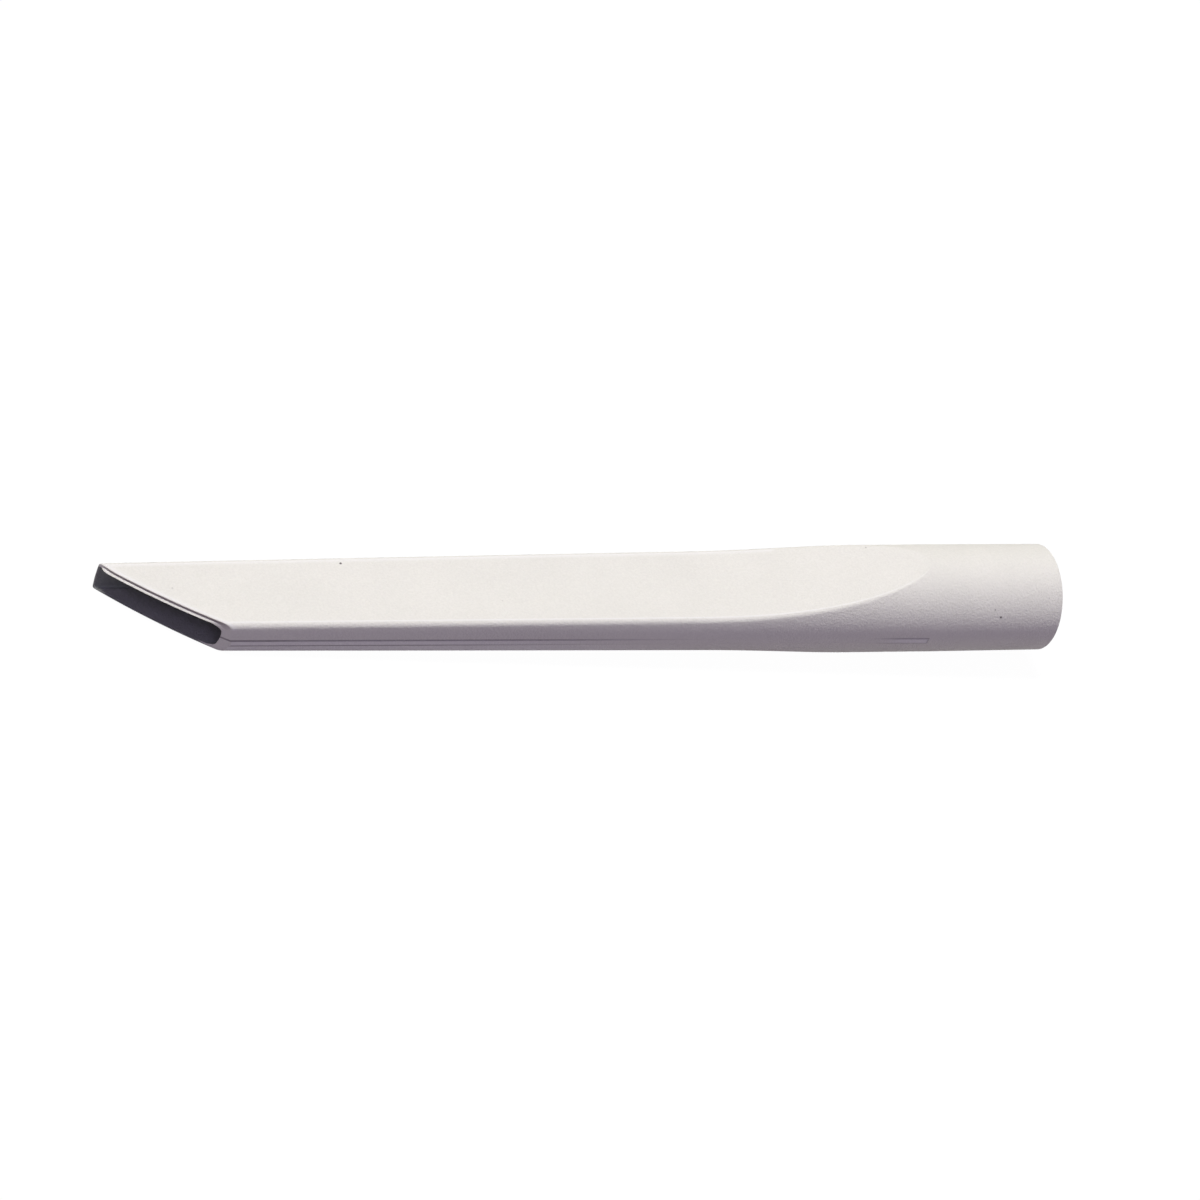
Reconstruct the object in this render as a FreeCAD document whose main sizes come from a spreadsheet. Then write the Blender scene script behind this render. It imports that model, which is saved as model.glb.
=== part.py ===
import FreeCAD, Part
import math
import os
import Sketcher

# Vacuum crevice tool: one hollow moulding with a round socket at one end, a long flat duct and a
# mouth cut on the slant. It is drawn along X, from the long lip's tip at X = 0 to the open end of the
# socket, with the long lip on the +Y side and the wide faces looking along +Z and -Z, and is then laid
# down on its lower lip and its collar.

# Driving dimensions in millimetres: alias, value, meaning
DIMENSIONS = [
    ("overall_length", 322.5, "tip of the long lip to the open end of the socket"),
    ("bore_diameter", 32, "socket bore, for a 32 mm wand"),
    ("bore_lead_in", 1.0, "bevel at the bore's mouth"),
    ("stop_ledge", 0.8, "step at the bottom of the bore that stops the wand"),
    ("stop_setback", 2, "distance from that step to the start of the plain round collar"),
    ("collar_wall", 2.25, "wall of the round collar"),
    ("collar_length", 40.5, "length of the plain round collar"),
    ("collar_edge_round", 0.5, "rounding of the collar's outer end"),
    ("mouth_width", 28, "width of the duct at the tip"),
    ("mouth_thickness", 11.5, "thickness of the duct at the tip"),
    ("mouth_crown", 40, "height of the oval that the narrow sides are part of, at the tip"),
    ("mouth_rake", 37.7, "how far the short lip lies behind the long one"),
    ("tip_trim", 1.1, "how much of the mouth's sharp corner the long lip's square end trims off"),
    ("mouth_bow", 260, "radius of the mouth's outward curve, seen from above"),
    ("knee_thickness", 15.8, "thickness of the duct where the wide faces turn up to the collar"),
    ("knee_to_collar", 56.25, "distance from that turn to the collar"),
    ("knee_blend", 310, "radius of that turn"),
    ("tongue_to_collar", 7, "distance from the end of the wide face to the collar"),
    ("edge_round", 1.7, "rounding along the edges of the wide faces"),
    ("duct_wall", 2.4, "wall of the duct"),
    ("near_lip", 1.6, "wall at the mouth's short side"),
    ("far_lip", 0.5, "wall at the mouth's long side"),
    ("low_lip", 0.5, "wall at the mouth's lower side"),
    ("slot_round", 1.4, "rounding along the edges of the passage"),
    ("ridge_width", 1.9, "width of the moulding ridge on each narrow side"),
    ("ridge_height", 0.2, "height of that ridge"),
    ("ridge_fade", 32, "length over which that ridge sinks into the side or rises from it"),
    ("ridge_root", 1.2, "depth of that ridge's root in the wall"),
    ("spare_length", 6, "how far blanks and cutting shapes run past the finished form"),
]

# Places along the axis, and sizes that follow from the driving ones
COLLAR_X = "(Sizes.overall_length - Sizes.collar_length)"
KNEE_X = f"({COLLAR_X} - Sizes.knee_to_collar)"
TONGUE_X = f"({COLLAR_X} - Sizes.tongue_to_collar)"
BORE_X = f"({COLLAR_X} + Sizes.stop_setback)"
BORE_RADIUS = "(Sizes.bore_diameter / 2)"
COLLAR_RADIUS = f"({BORE_RADIUS} + Sizes.collar_wall)"
PASSAGE_RADIUS = f"({BORE_RADIUS} - Sizes.stop_ledge)"
HALF_WIDTH = "(Sizes.mouth_width / 2)"
# Each cutting shape starts one spare length before the shape it cuts
BLANK_X = "(-Sizes.spare_length)"
FACE_CUT_X = f"({BLANK_X} - Sizes.spare_length)"
MOUTH_CUT_X = f"({FACE_CUT_X} - Sizes.spare_length)"
# Coordinates and directions closer than this are taken as equal
TOLERANCE = 1e-6

doc = FreeCAD.newDocument("crevice_tool")
sizes = doc.addObject("Spreadsheet::Sheet", "Sizes")
for row, (alias, value, meaning) in enumerate(DIMENSIONS, start=1):
    sizes.set(f"A{row}", alias)
    sizes.set(f"B{row}", str(value))
    sizes.set(f"C{row}", meaning)
    sizes.setAlias(f"B{row}", alias)
doc.recompute()


def value_of(expression):
    """Number that an expression over the sheet has now."""
    return float(sizes.evalExpression(expression))


def point_of(point):
    """Vector for a pair of expressions."""
    return FreeCAD.Vector(value_of(point[0]), value_of(point[1]), 0)


def line_at(x, start, end):
    """Expression for the height at x of the straight line through two points, all as expressions."""
    return f"({start[1]} + ({end[1]} - {start[1]}) * ({x} - {start[0]}) / ({end[0]} - {start[0]}))"


def origin_plane(body, role):
    """One of the body's own origin planes."""
    return next(item for item in body.Origin.OriginFeatures if item.Role == role)


def new_sketch(body, name, role, offset="0"):
    """Sketch on an origin plane of the body, moved along the plane's normal by an expression."""
    sketch = body.newObject("Sketcher::SketchObject", name)
    sketch.AttachmentSupport = (origin_plane(body, role), [""])
    sketch.MapMode = "FlatFace"
    sketch.setExpression("AttachmentOffset.Base.z", offset)
    return sketch


def bind(sketch, kind, *elements, expression):
    """Add a dimension to a sketch and bind it to an expression."""
    number = sketch.addConstraint(Sketcher.Constraint(kind, *elements, value_of(expression)))
    sketch.setExpression(f"Constraints[{number}]", expression)


def join(sketch, kind, *elements):
    """Add a constraint that has no value."""
    sketch.addConstraint(Sketcher.Constraint(kind, *elements))


def pin(sketch, geometry, place, point):
    """Hold one point of a sketch at the coordinates that two expressions give."""
    bind(sketch, "DistanceX", -1, 1, geometry, place, expression=point[0])
    bind(sketch, "DistanceY", -1, 1, geometry, place, expression=point[1])


def add_chain(sketch, points):
    """Straight lines through points given as pairs of expressions, all but the first one pinned."""
    corners = [point_of(point) for point in points]
    lines = []
    for number, end in enumerate(corners[1:]):
        lines.append(sketch.addGeometry(Part.LineSegment(corners[number], end)))
        pin(sketch, lines[-1], 2, points[number + 1])
    for before, after in zip(lines, lines[1:]):
        join(sketch, "Coincident", before, 2, after, 1)
    return lines


def add_outline(sketch, points):
    """Closed outline of straight lines through points given as pairs of expressions."""
    lines = add_chain(sketch, points + points[:1])
    join(sketch, "Coincident", lines[-1], 2, lines[0], 1)


def add_circle(sketch, radius):
    """Circle about the sketch's origin."""
    circle = sketch.addGeometry(Part.Circle(FreeCAD.Vector(), FreeCAD.Vector(0, 0, 1), value_of(radius)))
    join(sketch, "Coincident", circle, 3, -1, 1)
    bind(sketch, "Radius", circle, expression=radius)


def add_oval(sketch, centre, half_width, half_height):
    """Upright ellipse whose centre lies on the sketch's first axis."""
    middle = point_of((centre, "0"))
    top = middle + point_of(("0", half_height))
    side = middle + point_of((half_width, "0"))
    oval = sketch.addGeometry(Part.Ellipse(top, side, middle))
    sketch.exposeInternalGeometry(oval)
    tall_axis, wide_axis = oval + 1, oval + 2
    join(sketch, "Vertical", tall_axis)
    bind(sketch, "Distance", tall_axis, 1, tall_axis, 2, expression=f"2 * {half_height}")
    bind(sketch, "Distance", wide_axis, 1, wide_axis, 2, expression=f"2 * {half_width}")
    pin(sketch, oval, 3, (centre, "0"))


def add_face_outline(sketch, mouth_height, knee_height, crown_height, side):
    """Outline of what is cut away past a wide face.

    The face runs along the duct, turns and climbs to the collar. The heights are expressions, and
    side is 1 for the upper face and -1 for the lower one.
    """
    mouth = ("0", f"({side} * {mouth_height})")
    knee = (KNEE_X, f"({side} * {knee_height})")
    crown = (TONGUE_X, f"({side} * {crown_height})")
    first_x, last_x = FACE_CUT_X, COLLAR_X
    first = (first_x, line_at(first_x, mouth, knee))
    last = (last_x, line_at(last_x, knee, crown))
    clear = f"({side} * (Sizes.mouth_crown / 2 + Sizes.spare_length))"
    # starting shape of the turn, which the tangent constraints then hold
    start, corner, end = point_of(first), point_of(knee), point_of(last)
    along, climb = (corner - start).normalize(), (end - corner).normalize()
    turn = along.getAngle(climb)
    radius = value_of("Sizes.knee_blend")
    begin = corner - along * (radius * math.tan(turn / 2))
    finish = corner + climb * (radius * math.tan(turn / 2))
    centre = corner + (climb - along).normalize() * (radius / math.cos(turn / 2))
    angles = [math.atan2(point.y - centre.y, point.x - centre.x) for point in (begin, finish)]
    begin_end, finish_end = (1, 2) if side > 0 else (2, 1)
    duct_line = sketch.addGeometry(Part.LineSegment(start, begin))
    circle = Part.Circle(centre, FreeCAD.Vector(0, 0, 1), radius)
    bend = sketch.addGeometry(Part.ArcOfCircle(circle, min(angles), max(angles)))
    ramp = sketch.addGeometry(Part.LineSegment(finish, end))
    join(sketch, "Tangent", duct_line, 2, bend, begin_end)
    join(sketch, "Tangent", bend, finish_end, ramp, 1)
    bind(sketch, "Radius", bend, expression="Sizes.knee_blend")
    pin(sketch, ramp, 2, last)
    corner_point = sketch.addGeometry(Part.Point(corner), True)
    pin(sketch, corner_point, 1, knee)
    join(sketch, "PointOnObject", corner_point, 1, duct_line)
    join(sketch, "PointOnObject", corner_point, 1, ramp)
    closing = add_chain(sketch, [last, (last_x, clear), (first_x, clear), first])
    join(sketch, "Coincident", ramp, 2, closing[0], 1)
    join(sketch, "Coincident", closing[-1], 2, duct_line, 1)


def cut_through(body, name, sketch):
    """Pocket that runs right through the body, both ways from its sketch."""
    pocket = body.newObject("PartDesign::Pocket", name)
    pocket.Profile = sketch
    pocket.Type = "ThroughAll"
    pocket.SideType = "Symmetric"
    return pocket


def mirror(body, name, feature, role):
    """Mirror a feature of the body in one of its origin planes."""
    mirrored = body.newObject("PartDesign::Mirrored", name)
    mirrored.Originals = [feature]
    mirrored.MirrorPlane = (origin_plane(body, role), [""])
    body.Tip = mirrored
    return mirrored


def tapered_blank(body, name, centre, half_width, half_height, end_x, end_radius):
    """Straight taper from an upright oval at the mouth to a circle about the axis at end_x.

    The oval's sizes are those at X = 0, and the blank is carried on past them by the spare length.
    """
    end = (end_x, end_radius)
    mouth = new_sketch(body, f"{name}_mouth", "YZ_Plane", BLANK_X)
    add_oval(
        mouth,
        line_at(BLANK_X, ("0", centre), (end_x, "0")),
        line_at(BLANK_X, ("0", half_width), end),
        line_at(BLANK_X, ("0", half_height), end),
    )
    collar = new_sketch(body, f"{name}_collar", "YZ_Plane", end_x)
    add_circle(collar, end_radius)
    loft = body.newObject("PartDesign::AdditiveLoft", f"{name}_taper")
    loft.Profile = mouth
    loft.Sections = [collar]
    loft.Ruled = True
    return collar


def is_wide_face(face):
    """True for the flat and bent faces that look up or down."""
    if face.Surface.TypeId not in ("Part::GeomPlane", "Part::GeomCylinder"):
        return False
    first_u, last_u, first_v, last_v = face.ParameterRange
    normal = face.normalAt((first_u + last_u) / 2, (first_v + last_v) / 2)
    return abs(normal.y) < TOLERANCE and abs(normal.z) > abs(normal.x)


def round_wide_faces(body, name, feature, radius):
    """Round the edges where the wide faces meet the narrow sides."""
    doc.recompute()
    shape = feature.Shape
    names = []
    for number, edge in enumerate(shape.Edges, start=1):
        faces = shape.ancestorsOfType(edge, Part.Face)
        wide = [face for face in faces if is_wide_face(face)]
        sides = [face for face in faces if face.Surface.TypeId == "Part::GeomBSplineSurface"]
        if len(wide) == 1 and len(sides) == 1:
            names.append(f"Edge{number}")
    fillet = body.newObject("PartDesign::Fillet", name)
    fillet.Base = (feature, names)
    fillet.setExpression("Radius", radius)
    return fillet


def add_ridges(body):
    """Low moulding ridge under the middle of each narrow side, sunk into the side at the turn."""

    def beside(x, rise):
        """Point at x that stands proud of the narrow side by an expression."""
        return (x, f"({line_at(x, ('0', HALF_WIDTH), (COLLAR_X, COLLAR_RADIUS))} + {rise})")

    proud, sunk, root = "Sizes.ridge_height", "(-Sizes.ridge_height)", "(-Sizes.ridge_root)"
    sketch = new_sketch(body, "ridge_line", "XY_Plane")
    add_outline(
        sketch,
        [
            beside(BLANK_X, root),
            beside(BLANK_X, proud),
            beside(f"({KNEE_X} - Sizes.ridge_fade)", proud),
            beside(KNEE_X, sunk),
            beside(f"({TONGUE_X} - Sizes.ridge_fade)", sunk),
            beside(TONGUE_X, proud),
            beside(TONGUE_X, root),
        ],
    )
    ridge = body.newObject("PartDesign::Pad", "ridge")
    ridge.Profile = sketch
    ridge.Reversed = True
    ridge.setExpression("Length", "Sizes.ridge_width")
    mirror(body, "other_ridge", ridge, "XZ_Plane")


def cut_mouth(body):
    """Cut the mouth square to the wide faces, on a bowed line from the long lip to the short one.

    The sharp corner that this leaves on the long lip is trimmed square at X = 0.
    """
    tip, heel = ("(-Sizes.tip_trim)", HALF_WIDTH), ("Sizes.mouth_rake", f"(-{HALF_WIDTH})")
    reach = f"({HALF_WIDTH} + Sizes.spare_length)"
    long_end, short_end = point_of(tip), point_of(heel)
    chord = short_end - long_end
    radius = value_of("Sizes.mouth_bow")
    inward = FreeCAD.Vector(-chord.y, chord.x, 0).normalize()
    centre = (long_end + short_end) / 2 + inward * math.sqrt(radius**2 - (chord.Length / 2) ** 2)
    side_y = value_of(reach)
    angles = [-math.pi + math.asin((centre.y - y) / radius) for y in (side_y, -side_y)]
    sketch = new_sketch(body, "mouth_line", "XY_Plane")
    circle = Part.Circle(centre, FreeCAD.Vector(0, 0, 1), radius)
    bow = sketch.addGeometry(Part.ArcOfCircle(circle, *angles))
    far_point, near_point = sketch.Geometry[bow].StartPoint, sketch.Geometry[bow].EndPoint
    left_near = FreeCAD.Vector(value_of(MOUTH_CUT_X), near_point.y, 0)
    left_far = FreeCAD.Vector(value_of(MOUTH_CUT_X), far_point.y, 0)
    near_line = sketch.addGeometry(Part.LineSegment(near_point, left_near))
    left_line = sketch.addGeometry(Part.LineSegment(left_near, left_far))
    far_line = sketch.addGeometry(Part.LineSegment(left_far, far_point))
    join(sketch, "Coincident", bow, 2, near_line, 1)
    join(sketch, "Coincident", near_line, 2, left_line, 1)
    join(sketch, "Coincident", left_line, 2, far_line, 1)
    join(sketch, "Coincident", far_line, 2, bow, 1)
    join(sketch, "Horizontal", near_line)
    join(sketch, "Vertical", left_line)
    join(sketch, "Horizontal", far_line)
    bind(sketch, "DistanceX", -1, 1, left_line, 1, expression=MOUTH_CUT_X)
    bind(sketch, "DistanceY", -1, 1, bow, 1, expression=reach)
    bind(sketch, "DistanceY", -1, 1, bow, 2, expression=f"(-{reach})")
    bind(sketch, "Radius", bow, expression="Sizes.mouth_bow")
    for lip_end in (tip, heel):
        mark = sketch.addGeometry(Part.Point(point_of(lip_end)), True)
        pin(sketch, mark, 1, lip_end)
        join(sketch, "PointOnObject", mark, 1, bow)
    cut_through(body, "mouth", sketch)
    sketch = new_sketch(body, "tip_line", "XY_Plane")
    add_outline(sketch, [("0", "0"), ("0", reach), (MOUTH_CUT_X, reach), (MOUTH_CUT_X, "0")])
    cut_through(body, "tip_end", sketch)


def round_collar_end(body):
    """Round the outer edge of the socket's open end."""
    doc.recompute()
    solid = body.Tip
    length = value_of("Sizes.overall_length")
    end_edges = [
        f"Edge{number}"
        for number, edge in enumerate(solid.Shape.Edges, start=1)
        if all(abs(vertex.X - length) < TOLERANCE for vertex in edge.Vertexes)
    ]
    fillet = body.newObject("PartDesign::Fillet", "collar_end")
    fillet.Base = (solid, end_edges)
    fillet.setExpression("Radius", "Sizes.collar_edge_round")


def build_outside():
    """The moulding's outer form, still solid."""
    body = doc.addObject("PartDesign::Body", "outside")
    collar = tapered_blank(
        body, "blank", "0", HALF_WIDTH, "(Sizes.mouth_crown / 2)", COLLAR_X, COLLAR_RADIUS
    )
    pad = body.newObject("PartDesign::Pad", "collar")
    pad.Profile = collar
    pad.setExpression("Length", "Sizes.collar_length")
    sketch = new_sketch(body, "upper_face_line", "XZ_Plane")
    mouth_height, knee_height = "(Sizes.mouth_thickness / 2)", "(Sizes.knee_thickness / 2)"
    add_face_outline(sketch, mouth_height, knee_height, COLLAR_RADIUS, 1)
    upper = cut_through(body, "upper_face", sketch)
    both = mirror(body, "lower_face", upper, "XY_Plane")
    round_wide_faces(body, "face_edges", both, "Sizes.edge_round")
    round_collar_end(body)
    add_ridges(body)
    cut_mouth(body)
    return body


def build_passage():
    """The air passage: a slot that opens out into the round socket."""
    body = doc.addObject("PartDesign::Body", "passage")
    tapered_blank(
        body,
        "slot",
        "((Sizes.near_lip - Sizes.far_lip) / 2)",
        f"({HALF_WIDTH} - (Sizes.near_lip + Sizes.far_lip) / 2)",
        "(Sizes.mouth_crown / 2 - Sizes.duct_wall)",
        BORE_X,
        PASSAGE_RADIUS,
    )
    knee_height = "(Sizes.knee_thickness / 2 - Sizes.duct_wall)"
    crown_height = f"({COLLAR_RADIUS} - Sizes.duct_wall)"
    for name, lip, side in (("roof", "Sizes.duct_wall", 1), ("floor", "Sizes.low_lip", -1)):
        sketch = new_sketch(body, f"{name}_line", "XZ_Plane")
        add_face_outline(sketch, f"(Sizes.mouth_thickness / 2 - {lip})", knee_height, crown_height, side)
        face = cut_through(body, name, sketch)
    round_wide_faces(body, "slot_edges", face, "Sizes.slot_round")
    sketch = new_sketch(body, "bore_line", "XZ_Plane")
    bevel_x = "(Sizes.overall_length - Sizes.bore_lead_in)"
    past_x = "(Sizes.overall_length + Sizes.spare_length)"
    past_radius = f"({BORE_RADIUS} + Sizes.bore_lead_in + Sizes.spare_length)"
    corners = [(BORE_X, BORE_RADIUS), (bevel_x, BORE_RADIUS), (past_x, past_radius)]
    add_outline(sketch, [(BORE_X, "0"), *corners, (past_x, "0")])
    bore = body.newObject("PartDesign::Revolution", "bore")
    bore.Profile = sketch
    bore.ReferenceAxis = (origin_plane(body, "X_Axis"), [""])
    return body


def rest_rotation():
    """Turn that lays the tool down, with its lower lip and the round of its collar on one plane.

    The plane is z = height + slope * x + lean * (-y). It holds the lip's lower edge at the middle of
    the bow, where that edge runs along the mouth's chord, and touches the round where the lower wide
    face ends.
    """
    rake, width = value_of("Sizes.mouth_rake + Sizes.tip_trim"), value_of("Sizes.mouth_width")
    radius = value_of("Sizes.mouth_bow")
    chord = math.hypot(rake, width)
    sagitta = radius - math.sqrt(radius**2 - (chord / 2) ** 2)
    lip_x = rake / 2 - value_of("Sizes.tip_trim") - sagitta * width / chord
    lip_side = sagitta * rake / chord
    lip_depth = value_of("Sizes.mouth_thickness / 2")
    flare = (value_of("Sizes.knee_thickness / 2") - lip_depth) / value_of(KNEE_X)
    drop = value_of(COLLAR_RADIUS) - lip_depth - flare * lip_x
    run = value_of(TONGUE_X) - lip_x
    slope = -(drop + flare * lip_side * rake / width) / (run + lip_side * rake / width)
    lean = -rake * (slope + flare) / width
    pitch_angle = math.atan(slope)
    roll_angle = math.atan(lean * math.cos(pitch_angle))
    pitch = FreeCAD.Rotation(FreeCAD.Vector(0, 1, 0), math.degrees(pitch_angle))
    roll = FreeCAD.Rotation(FreeCAD.Vector(1, 0, 0), math.degrees(roll_angle))
    return roll.multiply(pitch)


nozzle = doc.addObject("Part::Cut", "crevice_nozzle")
nozzle.Base = build_outside()
nozzle.Tool = build_passage()
doc.recompute()

# The finished tool stands on z = 0, with the origin under the middle of its box.
nozzle.Placement = FreeCAD.Placement(FreeCAD.Vector(), rest_rotation())
box = nozzle.Shape.optimalBoundingBox(False, False)
nozzle.Placement.Base = FreeCAD.Vector(-box.Center.x, -box.Center.y, -box.ZMin)
doc.recompute()

for item in doc.Objects:
    if "Invalid" in item.State or "Error" in item.State:
        raise RuntimeError(f"{item.Label} failed: {item.State}")
if nozzle.Shape.isNull() or not nozzle.Shape.isValid():
    raise RuntimeError(f"{nozzle.Label} has no valid shape")

os.makedirs("parts", exist_ok=True)
nozzle.Shape.exportStep(f"parts/{nozzle.Label}.step")
print(f"{nozzle.Label}: {len(nozzle.Shape.Solids)} solid, {nozzle.Shape.Volume / 1000:.1f} cm3")
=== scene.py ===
import math

import bpy
import numpy as np
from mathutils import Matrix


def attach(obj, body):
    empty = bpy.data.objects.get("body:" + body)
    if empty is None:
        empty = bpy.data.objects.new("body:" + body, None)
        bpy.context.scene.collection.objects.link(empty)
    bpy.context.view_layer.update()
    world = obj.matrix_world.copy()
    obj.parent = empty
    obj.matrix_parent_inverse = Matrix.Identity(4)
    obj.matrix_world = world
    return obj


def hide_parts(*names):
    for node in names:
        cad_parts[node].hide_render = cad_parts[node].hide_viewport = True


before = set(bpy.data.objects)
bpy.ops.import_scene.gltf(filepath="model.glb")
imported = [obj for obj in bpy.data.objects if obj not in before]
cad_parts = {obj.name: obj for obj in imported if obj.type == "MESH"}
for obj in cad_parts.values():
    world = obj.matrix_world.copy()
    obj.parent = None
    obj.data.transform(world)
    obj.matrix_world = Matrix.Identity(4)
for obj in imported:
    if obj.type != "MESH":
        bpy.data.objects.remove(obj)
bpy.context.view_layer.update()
print("crevice tool: frame loaded with", len(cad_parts), "node")

# The moulding in its own frame, in mm: x runs from the long lip's tip to the socket's open end,
# y to the side of the long lip, and n is square to the wide faces.
moulding = {
    "length": 322.5,
    "collarX": 282.0,  # start of the plain round collar
    "collarRadius": 18.25,
    "collarEdge": 0.5,
    "boreX": 284.0,  # the step that stops the wand
    "boreRadius": 16.0,
    "throatRadius": 15.2,
    "leadIn": 1.0,
    "mouthHalfWidth": 14.0,
    "mouthCrown": 20.0,  # half height of the oval that the narrow sides follow
    "mouthHalfThickness": 5.75,
    "kneeX": 225.75,
    "kneeHalfThickness": 7.9,
    "kneeBlend": 310.0,
    "tongueX": 275.0,  # where the flats run out on the collar
    "innerTongueX": 272.36,  # and those of the passage
    "edgeRound": 2.05,
    "lowEdgeRound": 1.1,
    "rake": 37.7,
    "bow": 260.0,
    "tipTrim": 1.1,  # the long lip's sharp corner is trimmed square
    "tipSoftness": 0.05,  # of the trimmed corner, in square mm
    "tipLean": 1.2,  # the trimmed end leans back this much at its top
    "tipLeanStart": 0.6,  # from this share of the half width
    "heelLean": 1.3,  # the short lip's end leans this much from its bottom to its top
    "wall": 2.4,
    "nearLip": 1.6,
    "farLip": 0.5,
    "topLip": 1.65,
    "lowLip": 0.3,
    "lipFall": 0.2,  # the top bends down this much over the last stretch to its lip
    "lipFallReach": 1.8,
    "nearSlotRound": 2.4,
    "farSlotRound": 0.9,
    "lipRound": 0.2,
    "rimStep": 1.1,  # how far the top rim's lower edge stands out, along x
    "rimStepShare": 0.62,  # share of the rim's width that is set back
    "rimStepFade": (0.85, 1.0),  # share of the top over which the step runs out at the long lip's tip
    "ridgeTop": 0.35,  # below the widest line
    "ridgeWidth": 2.35,
    "ridgeHeight": 0.08,
    "ridgeSink": 190.0,  # the ridge is down by here, and up again at its end on the collar
    "ridgeFade": 32.0,
    "pitch": -2.732965,  # how the tool lies on its lower lip and collar, in degrees
    "roll": 3.027563,
    "place": (-161.3617, 0.6671, 5.1677),
}
ridgeEnd = moulding["ridgeTop"] + moulding["ridgeWidth"]

# Rows and columns of the moulding's mesh, with lengths in mm
grid = {
    "flatColumns": 12,
    "cornerColumns": 10,
    "sideColumns": 12,
    "ridgeColumns": 6,
    "flankColumns": np.array([0.0, 0.03, 0.14]),  # from each edge of the ridge
    "pastRidge": 0.25,
    "innerBand": 0.6,  # the passage has the ridge's columns too, this much closer together
    "openAngle": (0.02, 0.62),  # past the tongue the flat's columns keep the first and gain the second
    "openHeight": 6.0,  # as the flat's line rises this far over the oval
    "openFlat": 0.6,  # the flat's share of that angle, the rest being its corner's
    "slantEnd": 125.0,  # rows slant with the mouth up to here
    "slantRows": 27,
    "slantSkip": 3,  # the lips' own rows stand in for the first of them
    "slantBias": 1.6,
    "lipRow": 2.4,  # the first row behind a lip, in lip roundings
    "outerLipRows": [0.8, 1.2, 1.6, 2.0],
    "innerLipRows": [1.5],
    # first x, last x and count of each even stretch of rows
    "outerStretches": [(128.0, 195.0, 20), (198.0, 247.0, 22)],
    "innerStretches": [(130.0, 195.0, 10), (200.0, 247.0, 12)],
    "collarStretch": (290.0, moulding["length"] - moulding["collarEdge"], 12),
    # first and last root of the distance, and count, for rows before and after the end of a flat
    "outerTip": [(5.2, 0.14, 24), (0.05, 3.4, 14)],
    "innerTip": [(4.8, 0.14, 14), (0.05, 3.4, 8)],
    "tipShift": 0.2,  # the outer rows close in this far past the tongue's end
    "ridgeStop": 0.03,  # from the ridge's square end to the rows before and after it
    "edgeRows": 6,
    "boreRows": [8.0, 20.0, 32.5],  # from the open end
    "leadStep": 0.06,  # half width of a softened edge at the lead-in
    "stopStep": 0.1,  # and at the stop
}

# Painted light and shade, with stretches of x in mm: shade in the passage, on the thin lips and on the rim
# above its step, and highlights and light on the outside
paintedLight = {
    # painted shade in the passage, over the far wall's tip and on the thin lips
    "passageShade": 0.78,
    "tipShade": 0.22,  # added on the far wall's tip
    "tipShadeFade": (15.0, 70.0),
    "passageShadeFade": (225.0, 284.0),
    "lipShade": (0.35, 0.9),  # on the thin lower and far lips, from outside to inside
    "lipShadeSlope": 3.0,
    "stepShadeSlope": 12.0,  # how soon the painted shade over the rim's step begins
    "stepShadeFade": (-0.08, 0.04),  # and where it ends, from the step
    "lipHighlight": 1.3,  # reach of the top lip's painted highlight, in reaches of its fall
    "edgeHighlight": ([0, 0.08, 0.16, 0.3], [0.7, 1, 0.7, 0]),  # over the share of a long edge's rounding
    "ridgeHighlightFade": (110.0, 180.0),
    "ridgeHighlightReturn": (255.0, 268.0),
    "lowLightFade": (130.0, 200.0),
}


# Straight change: from the first value at share 0 to the last at share 1.
def blend(first, last, share):
    return first + (last - first) * share


# Smooth step from 0 at the first value to 1 at the second.
def easeBetween(x, first, last):
    t = np.clip((x - first) / (last - first), 0, 1)
    return t * t * (3 - 2 * t)


# Wide face: a straight run from the mouth to the knee, a tangent arc of the blend radius there, and a
# straight climb to the tongue's end.
def faceHeight(x, mouthHeight, kneeHeight, tongueHeight):
    kneeX, tongueX, radius = moulding["kneeX"], moulding["tongueX"], moulding["kneeBlend"]
    runAngle = math.atan2(kneeHeight - mouthHeight, kneeX)
    climbAngle = math.atan2(tongueHeight - kneeHeight, tongueX - kneeX)
    reach = radius * math.tan((climbAngle - runAngle) / 2)
    startX = kneeX - reach * math.cos(runAngle)
    endX = kneeX + reach * math.cos(climbAngle)
    centreX = startX - radius * math.sin(runAngle)
    centreN = kneeHeight - reach * math.sin(runAngle) + radius * math.cos(runAngle)
    run = mouthHeight + x * math.tan(runAngle)
    climb = kneeHeight + (x - kneeX) * math.tan(climbAngle)
    arc = centreN - np.sqrt(np.maximum(radius**2 - (x - centreX) ** 2, 0))
    return np.where(x < startX, run, np.where(x > endX, climb, arc))


# Mouth in plan: the arc of the bow radius through the short lip's end and a point past the long lip's
# tip, with a soft maximum that trims the tip at x = 0, and the lean of both ends.
def mouthX(y, n):
    tip = np.array([-moulding["tipTrim"], moulding["mouthHalfWidth"]])
    heel = np.array([moulding["rake"], -moulding["mouthHalfWidth"]])
    chord = heel - tip
    inward = np.array([-chord[1], chord[0]]) / np.hypot(*chord)
    centre = (tip + heel) / 2 + inward * math.sqrt(moulding["bow"] ** 2 - (chord @ chord) / 4)
    arc = centre[0] - np.sqrt(moulding["bow"] ** 2 - (y - centre[1]) ** 2)
    trimmed = (arc + np.sqrt(arc**2 + moulding["tipSoftness"])) / 2
    across, rise = y / moulding["mouthHalfWidth"], n / moulding["mouthHalfThickness"] / 2
    tipLean = moulding["tipLean"] * easeBetween(across, moulding["tipLeanStart"], 1.0) * (0.5 + rise)
    heelLean = moulding["heelLean"] * (0.5 - across / 2) * rise
    return trimmed + tipLean + heelLean


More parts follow.
